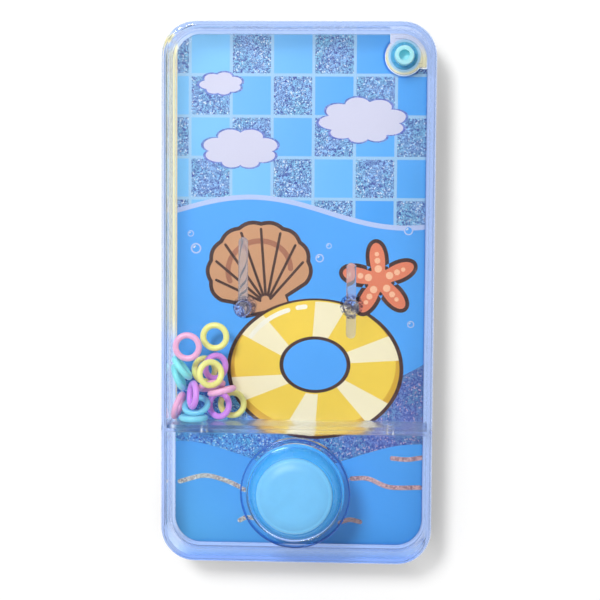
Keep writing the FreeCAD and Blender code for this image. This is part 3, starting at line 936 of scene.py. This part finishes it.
def paintShell(values):
    # A fan shell: scallops along its round edge and two small ears at its hinge
    radius, ribs, squeeze = values["radius"], values["ribs"], values["squeeze"]
    first, last = values["spread"]
    start, reach = values["rib ends"]

    def at(points):
        return turned(points, values["tilt"], values["centre"])

    spread = np.radians(np.linspace(first, last, 180))
    share = np.linspace(0, 1, 180)
    edge = radius * (1 + values["scallop"] * np.abs(np.sin(share * ribs * math.pi)))
    fan = columns(edge * np.cos(spread), edge * np.sin(spread) * squeeze)
    paintOutlined(at(np.concatenate([fan, np.array(values["ears"]) * radius])), "shellInk")
    inner = values["shade"] * radius
    shade = columns(inner * np.cos(spread), inner * squeeze * np.sin(spread))
    paint(ribbon(at(shade[14:-14]), values["shade width"]), "shellShade")
    base = np.array([0, values["hinge"] * radius])
    steps = np.linspace(start, 1, 12)[:, None]
    for k in range(1, ribs):
        angle = math.radians(first + (last - first) * k / ribs)
        tip = np.array([math.cos(angle), squeeze * math.sin(angle)]) * radius * reach
        paint(ribbon(at(base + (tip - base) * steps), values["rib width"]), "outlineInk")


star = {
    "centre": (22.5, 3.5),
    "radius": 10.5,
    "tilt": 96,
    "arms": 5,
    "arm": 0.34,
    "dots": ((0.30, 0.10), (0.52, 0.08), (0.70, 0.06)),  # how far out and how large, in radii
}


def paintStar(values):
    # A starfish with round arms, dotted down each arm
    centre, radius, arms, arm = (values[key] for key in ("centre", "radius", "arms", "arm"))
    loop = smoothLoop(200, lambda a: radius * (1 - arm + arm * np.cos(arms * a)), centre, values["tilt"])
    paintOutlined(loop, "starInk")
    for k in range(arms):
        angle = math.radians(values["tilt"]) + k * math.tau / arms
        for share, size in values["dots"]:
            away = share * radius
            spot = (centre[0] + away * math.cos(angle), centre[1] + away * math.sin(angle))
            paint(arc(spot, size * radius, 0, 360, 17)[:-1], "starDots")


swimRing = {
    "centre": (4.5, -22.0),
    "radius": 24.0,
    "hole": 9.0,
    "squeeze": 0.80,
    "lift": 1.2,
    "lit": 0.955,
    "stripes": 6,
    "stripe": (8, 30),
    "bend": 0.10,
}


def paintSwimRing(values):
    # A swim ring with broad stripes, seen a little from above
    centre, radius, hole, squeeze = (values[key] for key in ("centre", "radius", "hole", "squeeze"))
    lifted = (centre[0], centre[1] + values["lift"])
    bend = values["bend"]
    paint(smoothLoop(180, radius + outlineWidth, centre, 0, squeeze), "outlineInk")
    paint(smoothLoop(180, radius, centre, 0, squeeze), "floatShade")
    paint(smoothLoop(180, radius * values["lit"], lifted, 0, squeeze), "floatInk")
    for k in range(values["stripes"]):
        start, end = (360 * k / values["stripes"] + side for side in values["stripe"])
        angle = np.radians(np.linspace(start, end, 12))
        outer = columns(np.cos(angle) * radius, np.sin(angle) * radius * squeeze)
        inner = columns(np.cos(angle + bend) * hole, np.sin(angle + bend) * hole * squeeze)
        paint(np.concatenate([outer, inner[::-1]]) + centre, "floatStripe")
    paint(smoothLoop(96, hole + outlineWidth, lifted, 0, squeeze), "outlineInk")
    paint(smoothLoop(96, hole, lifted, 0, squeeze), "poolWater")


glint = {"centre": (4.5, -20.6), "radius": 20.6, "width": 1.3, "squeeze": 0.80}
glintArcs = ((112, 152), (98, 104))


def paintGlint(start, end, centre, radius, width, squeeze=1.0):
    # A highlight stroke along part of an ellipse
    angle = np.radians(np.linspace(start, end, 24))
    line = columns(centre[0] + radius * np.cos(angle), centre[1] + radius * squeeze * np.sin(angle))
    paint(ribbon(line, width), "glintInk")


bubbles = (
    (-29.5, 12.0, 1.5),
    (-31.0, 16.2, 0.9),
    (30.6, 17.5, 1.3),
    (5.6, 9.5, 1.2),
    (8.2, 13.0, 0.8),
    (31.5, -9.0, 1.0),
)
bubbleShape = {"inside": 0.72, "glint": 0.42, "glint width": 0.22}


def paintBubble(across, up, radius):
    centre = (across, up)
    paint(arc(centre, radius, 0, 360, 33)[:-1], "waveFoam")
    paint(arc(centre, radius * bubbleShape["inside"], 0, 360, 33)[:-1], "poolWater")
    paintGlint(110, 160, centre, radius * bubbleShape["glint"], radius * bubbleShape["glint width"])


paintPool(pool)
for cloud in clouds:
    paintCloud(**cloud)
paintShell(fanShell)
paintSwimRing(swimRing)
for start, end in glintArcs:
    paintGlint(start, end, **glint)
paintStar(star)
for bubble in bubbles:
    paintBubble(*bubble)
print("print drawn:", len(shapes), "shapes")


def wound(loop):
    # The closed line run counter-clockwise: the triangulation fills to the left of a line
    area = np.sum(loop[:, 0] * np.roll(loop[:, 1], -1) - np.roll(loop[:, 0], -1) * loop[:, 1])
    return loop if area > 0 else loop[::-1]


def makeCard(values):
    # The card's top is one flat triangulation of all the outlines, each triangle in the ink of
    # the topmost shape over it. The bottom is the same reversed, and the rim is walled
    loops = [(wound(loop), name) for loop, name in [(cardOutline(values), "poolWater")] + shapes]
    points = np.concatenate([loop for loop, _ in loops])
    starts = np.cumsum([0] + [len(loop) for loop, _ in loops])
    faces = [list(range(starts[k], starts[k + 1])) for k in range(len(loops))]
    flat = [Vector(point) for point in points.tolist()]
    spots, _, cells, _, _, owners = delaunay_2d_cdt(flat, [], faces, 1, 1e-4)
    kept = [(cell, max(owner)) for cell, owner in zip(cells, owners) if 0 in owner]
    inkNames = list(cardInks)
    used, corners = np.unique(np.array([cell for cell, _ in kept]), return_inverse=True)
    corners = corners.reshape(-1, 3)
    flat = np.array([tuple(spot) for spot in spots])[used] * mm
    count = len(flat)
    top = np.column_stack([flat, np.full(count, values["top"] * mm)])
    bottom = np.column_stack([flat, np.full(count, values["bottom"] * mm)])
    sides = np.concatenate([corners[:, [0, 1]], corners[:, [1, 2]], corners[:, [2, 0]]])
    keys = sides[:, 0].astype(np.int64) * count + sides[:, 1]
    mirrored = sides[:, 1].astype(np.int64) * count + sides[:, 0]
    rim = sides[~np.isin(keys, mirrored)]
    wall = np.column_stack([rim[:, 0], rim[:, 0] + count, rim[:, 1] + count, rim[:, 1]])
    allFaces = corners.tolist() + (corners[:, ::-1] + count).tolist() + wall.tolist()
    paper = inkNames.index("cardPaper")
    slots = [inkNames.index(loops[owner][1]) for _, owner in kept]
    slots += [paper] * (len(corners) + len(wall))
    mesh = bpy.data.meshes.new("printedCard")
    mesh.from_pydata(np.concatenate([top, bottom]).tolist(), [], allFaces)
    for material in cardInks.values():
        mesh.materials.append(material)
    mesh.polygons.foreach_set("material_index", slots)
    return mesh


def addObject(name, data):
    piece = bpy.data.objects.new(name, data)
    bpy.context.scene.collection.objects.link(piece)
    return piece


def addPiece(name, mesh, body, slotName, *replaced):
    piece = addObject(name, mesh)
    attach(piece, body)
    if replaced:
        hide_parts(*replaced)
    return piece


cardPiece = addPiece("printedCard", makeCard(card), "case", "print", "print_sheet")
print("card:", len(cardPiece.data.polygons), "faces")

skirt = {
    "centre": buttonPlace,
    "seat": 16.005,
    "flange radius": 13.6,
    "flange": 1.2,
    "flange round": 0.25,
    "gap": 0.02,  # left between the skirt and what it touches
    "side gap": 0.03,
    "foot": 12.6,
    "top radius": 11.0,
    "height": 6.0,
    "wall": 0.9,
    "bulge": 7.0,
    "round": 0.35,
    "steps": 128,
    "stroke": 4.0,
}


def revolve(name, profile, centre, steps):
    # A closed profile of (radius, height) points carried round a vertical line; points on the
    # line itself become one pole
    profile = np.asarray(profile, float)
    angle = np.linspace(0, 2 * np.pi, steps, endpoint=False)
    ring = profile[:, 0] > 1e-6
    x = centre[0] + np.outer(profile[:, 0], np.cos(angle))
    y = centre[1] + np.outer(profile[:, 0], np.sin(angle))
    z = np.repeat(profile[:, 1:2], steps, axis=1)
    grid = np.stack([x, y, z], 2)
    index = np.arange(len(profile) * steps).reshape(len(profile), steps)
    index[~ring] = index[~ring][:, :1]
    following = np.roll(index, -1, axis=1)
    faces = []
    for row in range(len(profile) if ring.all() else len(profile) - 1):
        after = (row + 1) % len(profile)
        quads = np.stack([index[row], following[row], following[after], index[after]], 1)
        if not ring[row]:
            quads = quads[:, [0, 2, 3]]
        elif not ring[after]:
            quads = quads[:, [0, 1, 2]]
        faces += quads.tolist()
    used = np.unique(np.concatenate([np.array(face) for face in faces]))
    renumber = np.full(len(profile) * steps, -1)
    renumber[used] = np.arange(len(used))
    faces = [renumber[face].tolist() for face in faces]
    mesh = bpy.data.meshes.new(name)
    mesh.from_pydata((grid.reshape(-1, 3)[used] * mm).tolist(), [], faces)
    mesh.polygons.foreach_set("use_smooth", [True] * len(mesh.polygons))
    mesh.update()
    return mesh


def bulged(start, end, radius, count):
    # An arc of a given radius between two points, bulging to the right of the way along it
    start, end = np.array(start, float), np.array(end, float)
    middle, half = (start + end) / 2, (end - start) / 2
    length = np.linalg.norm(half)
    left = np.array([-half[1], half[0]]) / length
    centre = middle + left * math.sqrt(radius**2 - length**2)
    first = math.atan2(*(start - centre)[::-1])
    last = math.atan2(*(end - centre)[::-1])
    if last < first:
        last += math.tau
    angle = np.linspace(first, last, count)
    return columns(centre[0] + radius * np.cos(angle), centre[1] + radius * np.sin(angle))


def makeSkirt(values):
    low = values["seat"] + values["flange"]
    high = values["seat"] + values["height"] - values["gap"]
    foot, top, wall = values["foot"], values["top radius"], values["wall"]
    corner, bulge = values["round"], values["bulge"]
    outer = bulged((foot, low), (top, high - corner), bulge, 20)
    rim = arc((top - corner, high - corner), corner, 0, 90, 7)[1:]
    inner = bulged((foot - wall, low), (top - wall, high - wall), bulge - wall, 16)
    # from the pole under the top, down inside, round the foot and up outside to the pole on top
    profile = np.concatenate([[(0, high - wall)], inner[::-1], outer, rim, [(0, high)]])
    return revolve("buttonSkirt", profile, values["centre"], values["steps"])


def makeFlange(values):
    corner, gap = values["flange round"], values["gap"]
    low, high = values["seat"] + gap, values["seat"] + values["flange"] - gap
    inside, outside = values["foot"] - values["wall"], values["flange radius"] - values["side gap"]
    left, right, down, up = inside + corner, outside - corner, low + corner, high - corner
    middles = ((left, down), (right, down), (right, up), (left, up))
    starts = (180, 270, 0, 90)
    parts = [arc(middle, corner, start, start + 90, 5) for middle, start in zip(middles, starts)]
    return revolve("skirtFlange", np.concatenate(parts), values["centre"], values["steps"])


bellowsBlue = makeBellowsBlue(bellowsLook)
skirtMesh, flangeMesh = makeSkirt(skirt), makeFlange(skirt)
skirtMesh.materials.append(bellowsBlue)
flangeMesh.materials.append(bellowsBlue)
skirtPiece = addPiece("buttonSkirt", skirtMesh, "case", "blue_soft", "pump_bellows")
addPiece("skirtFlange", flangeMesh, "case", "blue_soft", "pump_bellows")
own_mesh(skirtPiece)
print("skirt:", len(skirtMesh.polygons), "faces, flange:", len(flangeMesh.polygons))

studio = {
    "floor half": 2.5,  # metres
    "floor below": 0.00003,
    "floor diffuse": 0.92,
    "floor glow": 0.12,
    "floor glow far": 0.45,  # keeps the floor white where the lamp no longer reaches
    "floor fade": (250.0, 700.0),  # millimetres from the middle
    "floor seen through": 0.75,  # what clear parts and gloss show of the floor besides its shading
    "sky": 0.576,  # what lights the things
    "reflected": 0.80,  # what gloss and clear parts show of the sky, less at the zenith
    "zenith": 0.24,
    "zenith from": 0.78,  # height of the direction looked in, 1 is straight up
    "zenith full": 0.97,
}


def makeFloor(values):
    half = values["floor half"]
    level = cadBox[0].z - values["floor below"]
    corners = [(-half, -half, level), (half, -half, level), (half, half, level), (-half, half, level)]
    mesh = bpy.data.meshes.new("floor")
    mesh.from_pydata(corners, [], [(0, 1, 2, 3)])
    material, tree = newMaterial("floorPaper")
    diffuse = nodeValue(tree, "BsdfDiffuse", {"Color": (*[values["floor diffuse"]] * 3, 1)})
    path = addNode(tree, "LightPath").outputs
    reach = lengthOf(tree, placeInMm(tree))
    fade = (*values["floor fade"], values["floor glow"], values["floor glow far"])
    level = remap(tree, reach, *fade, interpolation_type="SMOOTHSTEP")
    seen = times(tree, path["Is Camera Ray"], level)
    indirect = mathNode(tree, "MAXIMUM", path["Is Glossy Ray"], path["Is Transmission Ray"])
    through = times(tree, indirect, values["floor seen through"])
    glow = nodeValue(tree, "Emission", {"Strength": mathNode(tree, "ADD", seen, through)})
    finishMaterial(tree, nodeValue(tree, "AddShader", {0: diffuse, 1: glow}))
    mesh.materials.append(material)
    floor = addObject("floor", mesh)


def makeWorld(values):
    world = bpy.data.worlds.new("studioWorld")
    world.use_nodes = True
    tree = world.node_tree
    tree.nodes.clear()
    up = addNode(tree, "SeparateXYZ", {0: addNode(tree, "TexCoord").outputs["Generated"]}).outputs[2]
    fade = [values[key] for key in ("zenith from", "zenith full", "reflected", "zenith")]
    gradient = remap(tree, up, *fade, interpolation_type="SMOOTHSTEP")
    path = addNode(tree, "LightPath").outputs
    gloss = mathNode(tree, "MAXIMUM", path["Is Glossy Ray"], path["Is Transmission Ray"])
    level = mixValues(tree, gloss, values["sky"], gradient)
    # straight to the camera the sky is plain white
    level = mixValues(tree, path["Is Camera Ray"], level, 1.0)
    background = nodeValue(tree, "Background", {"Color": (1, 1, 1, 1), "Strength": level})
    addNode(tree, "OutputWorld", {"Surface": background})
    bpy.context.scene.world = world


lamps = {
    "keyLamp": {"place": (-0.33, 0.50, 1.05), "size": 0.30, "watts": 8.0, "aim": (0, 0, 0)},
}


def makeLamps(values):
    for name, lamp in values.items():
        data = bpy.data.lights.new(name, "AREA")
        data.shape, data.size, data.energy = "DISK", lamp["size"], lamp["watts"]
        light = addObject(name, data)
        light.location = lamp["place"]
        light.rotation_mode = "QUATERNION"
        ahead = Vector(lamp["aim"]) - Vector(lamp["place"])
        light.rotation_quaternion = ahead.to_track_quat("-Z", "Y")


cameraPlace = {
    "place": (0.02280, 0.03023, 0.44729),  # metres
    "tilt": (-4.183, 2.901, 0.614),  # degrees about X, Y and Z
    "lens": 94.85,
    "clip": (0.01, 20),
}


def makeCamera(values):
    data = bpy.data.cameras.new("photoCamera")
    data.lens = values["lens"]
    data.clip_start, data.clip_end = values["clip"]
    camera = addObject("photoCamera", data)
    camera.location = values["place"]
    camera.rotation_mode = "ZYX"
    camera.rotation_euler = [math.radians(turn) for turn in values["tilt"]]
    bpy.context.scene.camera = camera


makeFloor(studio)
makeWorld(studio)
makeLamps(lamps)
makeCamera(cameraPlace)
scene = bpy.context.scene
scene.view_settings.view_transform = "Standard"
scene.cycles.max_bounces = 24
scene.cycles.transmission_bounces = 24
scene.cycles.glossy_bounces = 24
scene.cycles.transparent_max_bounces = 32
print("studio ready")
